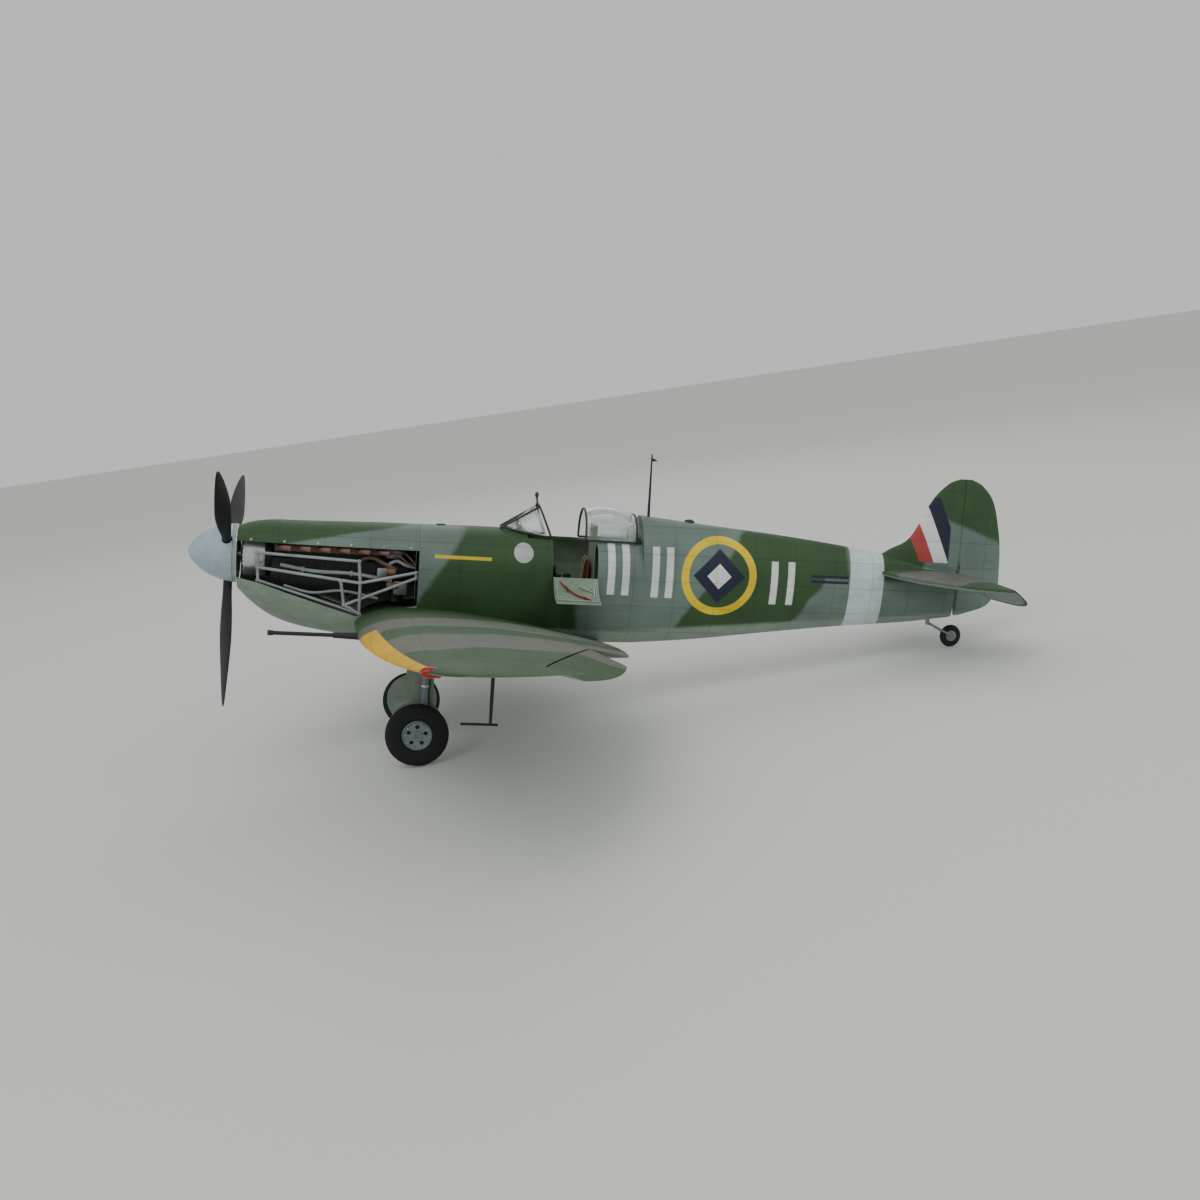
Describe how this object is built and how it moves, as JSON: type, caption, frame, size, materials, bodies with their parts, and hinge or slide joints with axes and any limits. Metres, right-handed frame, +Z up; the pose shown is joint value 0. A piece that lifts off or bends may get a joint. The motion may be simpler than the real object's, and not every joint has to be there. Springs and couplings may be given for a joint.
{
  "type": "radio-controlled model aircraft",
  "caption": "Radio-controlled scale model of a single-seat piston fighter, port engine cowling and cockpit door open, on its wheels, with working controls, retracting gear and sliding canopy.",
  "frame": {"origin": "middle of the bounding box in plan, at the height of the ground the three wheels stand on", "axes": "+X points to the tail, +Y to starboard (the pilot's right), +Z up; the model stands in its three-point attitude, nose up by 12.4 degrees"},
  "size_m": [0.9018, 1.1204, 0.331],
  "materials": {
    "camouflage_green": "satin",
    "camouflage_grey": "satin",
    "underside_grey": "satin",
    "spinner_paint": "satin",
    "blade_black": "matte",
    "dark_metal": "matte",
    "bright_alloy": "satin",
    "plate_steel": "satin",
    "exhaust_metal": "heat stained",
    "tube_paint": "satin",
    "interior_green": "matte",
    "seat_brown": "matte",
    "black_plastic": "matte",
    "tyre_rubber": "matte",
    "leg_paint": "satin",
    "clear_plastic": "polished",
    "battery_wrap": "satin"
  },
  "bodies": {
    "airframe": {"fuselage_shell": "camouflage_green", "firewall": "plate_steel", "upper_cowl": "camouflage_green", "right_side_cowl": "camouflage_green", "lower_cowl": "underside_grey", "engine_block": "dark_metal", "drive_motor": "bright_alloy", "cylinder_bank_left": "dark_metal", "cylinder_bank_right": "dark_metal", "exhaust_left": "exhaust_metal", "exhaust_right": "exhaust_metal", "engine_bearer_left": "tube_paint", "engine_bearer_right": "tube_paint", "wing_left": "camouflage_grey", "wing_right": "camouflage_grey", "cannon_left": "dark_metal", "cannon_right": "dark_metal", "oil_cooler": "underside_grey", "radiator": "underside_grey", "pitot_tube": "dark_metal", "fin": "camouflage_green", "tailplane_left": "camouflage_green", "tailplane_right": "camouflage_green", "windscreen_frame": "camouflage_green", "windscreen_glass": "clear_plastic", "rear_glass": "clear_plastic", "cockpit_tub": "interior_green", "seat": "seat_brown", "instrument_panel": "black_plastic", "control_stick": "black_plastic", "aerial_mast": "dark_metal", "battery": "battery_wrap", "speed_controller": "black_plastic", "receiver": "black_plastic", "elevator_servo": "black_plastic", "rudder_servo": "black_plastic"},
    "propeller": {"spinner": "spinner_paint", "propeller_hub": "bright_alloy", "blade_1": "blade_black", "blade_2": "blade_black", "blade_3": "blade_black"},
    "canopy": {"canopy_frame": "camouflage_green", "canopy_glass": "clear_plastic"},
    "door": {"cockpit_door": "interior_green"},
    "aileron_left": {"aileron_left": "camouflage_grey"},
    "aileron_right": {"aileron_right": "camouflage_grey"},
    "flap_left": {"flap_left": "camouflage_grey"},
    "flap_right": {"flap_right": "camouflage_grey"},
    "elevators": {"elevators": "camouflage_grey"},
    "rudder": {"rudder": "camouflage_grey"},
    "gear_left": {"gear_leg_left": "leg_paint", "gear_fairing_left": "underside_grey"},
    "gear_right": {"gear_leg_right": "leg_paint", "gear_fairing_right": "underside_grey"},
    "wheel_left": {"tyre_left": "tyre_rubber", "hub_left": "leg_paint"},
    "wheel_right": {"tyre_right": "tyre_rubber", "hub_right": "leg_paint"},
    "tail_fork": {"tail_wheel_fork": "leg_paint"},
    "tail_wheel": {"tail_wheel": "tyre_rubber"}
  },
  "joints": [
    {"name": "propeller_spin", "type": "hinge", "parent": "airframe", "child": "propeller", "pos_m": [-0.4104, 0, 0.24289], "axis": [0.9767, 0, -0.2147], "continuous": true},
    {"name": "canopy_slide", "type": "slide", "parent": "airframe", "child": "canopy", "axis": [-0.9767, 0, 0.2147], "range_m": [0, 0.034]},
    {"name": "door_hinge", "type": "hinge", "parent": "airframe", "child": "door", "pos_m": [-0.07994, -0.04344, 0.16491], "axis": [0.9767, 0, -0.2147], "range_deg": [-148, 0]},
    {"name": "aileron_left_hinge", "type": "hinge", "parent": "airframe", "child": "aileron_left", "pos_m": [-0.08888, -0.305, 0.12906], "axis": [-0.2882, -0.9438, 0.1617], "range_deg": [-11, 39]},
    {"name": "aileron_right_hinge", "type": "hinge", "parent": "airframe", "child": "aileron_right", "pos_m": [-0.08888, 0.305, 0.12906], "axis": [-0.2882, 0.9438, 0.1617], "range_deg": [-11, 39]},
    {"name": "flap_left_hinge", "type": "hinge", "parent": "airframe", "child": "flap_left", "pos_m": [-0.09638, -0.048, 0.10412], "axis": [-0.0217, 0.9949, -0.0986], "range_deg": [0, 45]},
    {"name": "flap_right_hinge", "type": "hinge", "parent": "airframe", "child": "flap_right", "pos_m": [-0.09638, 0.048, 0.10412], "axis": [0.0217, 0.9949, 0.0986], "range_deg": [0, 45]},
    {"name": "elevator_hinge", "type": "hinge", "parent": "airframe", "child": "elevators", "pos_m": [0.38745, 0, 0.08334], "axis": [0, 1, 0], "range_deg": [-57, 2]},
    {"name": "rudder_hinge", "type": "hinge", "parent": "airframe", "child": "rudder", "pos_m": [0.40218, 0, 0.11542], "axis": [0.2147, 0, 0.9767], "range_deg": [-28, 28]},
    {"name": "tail_wheel_steer", "type": "hinge", "parent": "airframe", "child": "tail_fork", "pos_m": [0.35102, 0, 0.0294], "axis": [0.2147, 0, 0.9767], "range_deg": [-28, 28]},
    {"name": "tail_wheel_spin", "type": "hinge", "parent": "tail_fork", "child": "tail_wheel", "pos_m": [0.37813, 0, 0.013], "axis": [0, 1, 0], "continuous": true},
    {"name": "gear_left_fold", "type": "hinge", "parent": "airframe", "child": "gear_left", "pos_m": [-0.22137, -0.0759, 0.1317], "axis": [-0.9767, 0, 0.2147], "range_deg": [0, 96]},
    {"name": "gear_right_fold", "type": "hinge", "parent": "airframe", "child": "gear_right", "pos_m": [-0.22137, 0.0759, 0.1317], "axis": [0.9767, 0, -0.2147], "range_deg": [0, 96]},
    {"name": "wheel_left_spin", "type": "hinge", "parent": "gear_left", "child": "wheel_left", "pos_m": [-0.24955, -0.087, 0.03285], "axis": [0, 1, 0], "continuous": true},
    {"name": "wheel_right_spin", "type": "hinge", "parent": "gear_right", "child": "wheel_right", "pos_m": [-0.24955, 0.087, 0.03285], "axis": [0, 1, 0], "continuous": true}
  ],
  "couplings": [
    {"joint": "aileron_right_hinge", "follows": "aileron_left_hinge", "ratio": 1},
    {"joint": "flap_right_hinge", "follows": "flap_left_hinge", "ratio": 1},
    {"joint": "tail_wheel_steer", "follows": "rudder_hinge", "ratio": 1},
    {"joint": "gear_right_fold", "follows": "gear_left_fold", "ratio": 1}
  ]
}
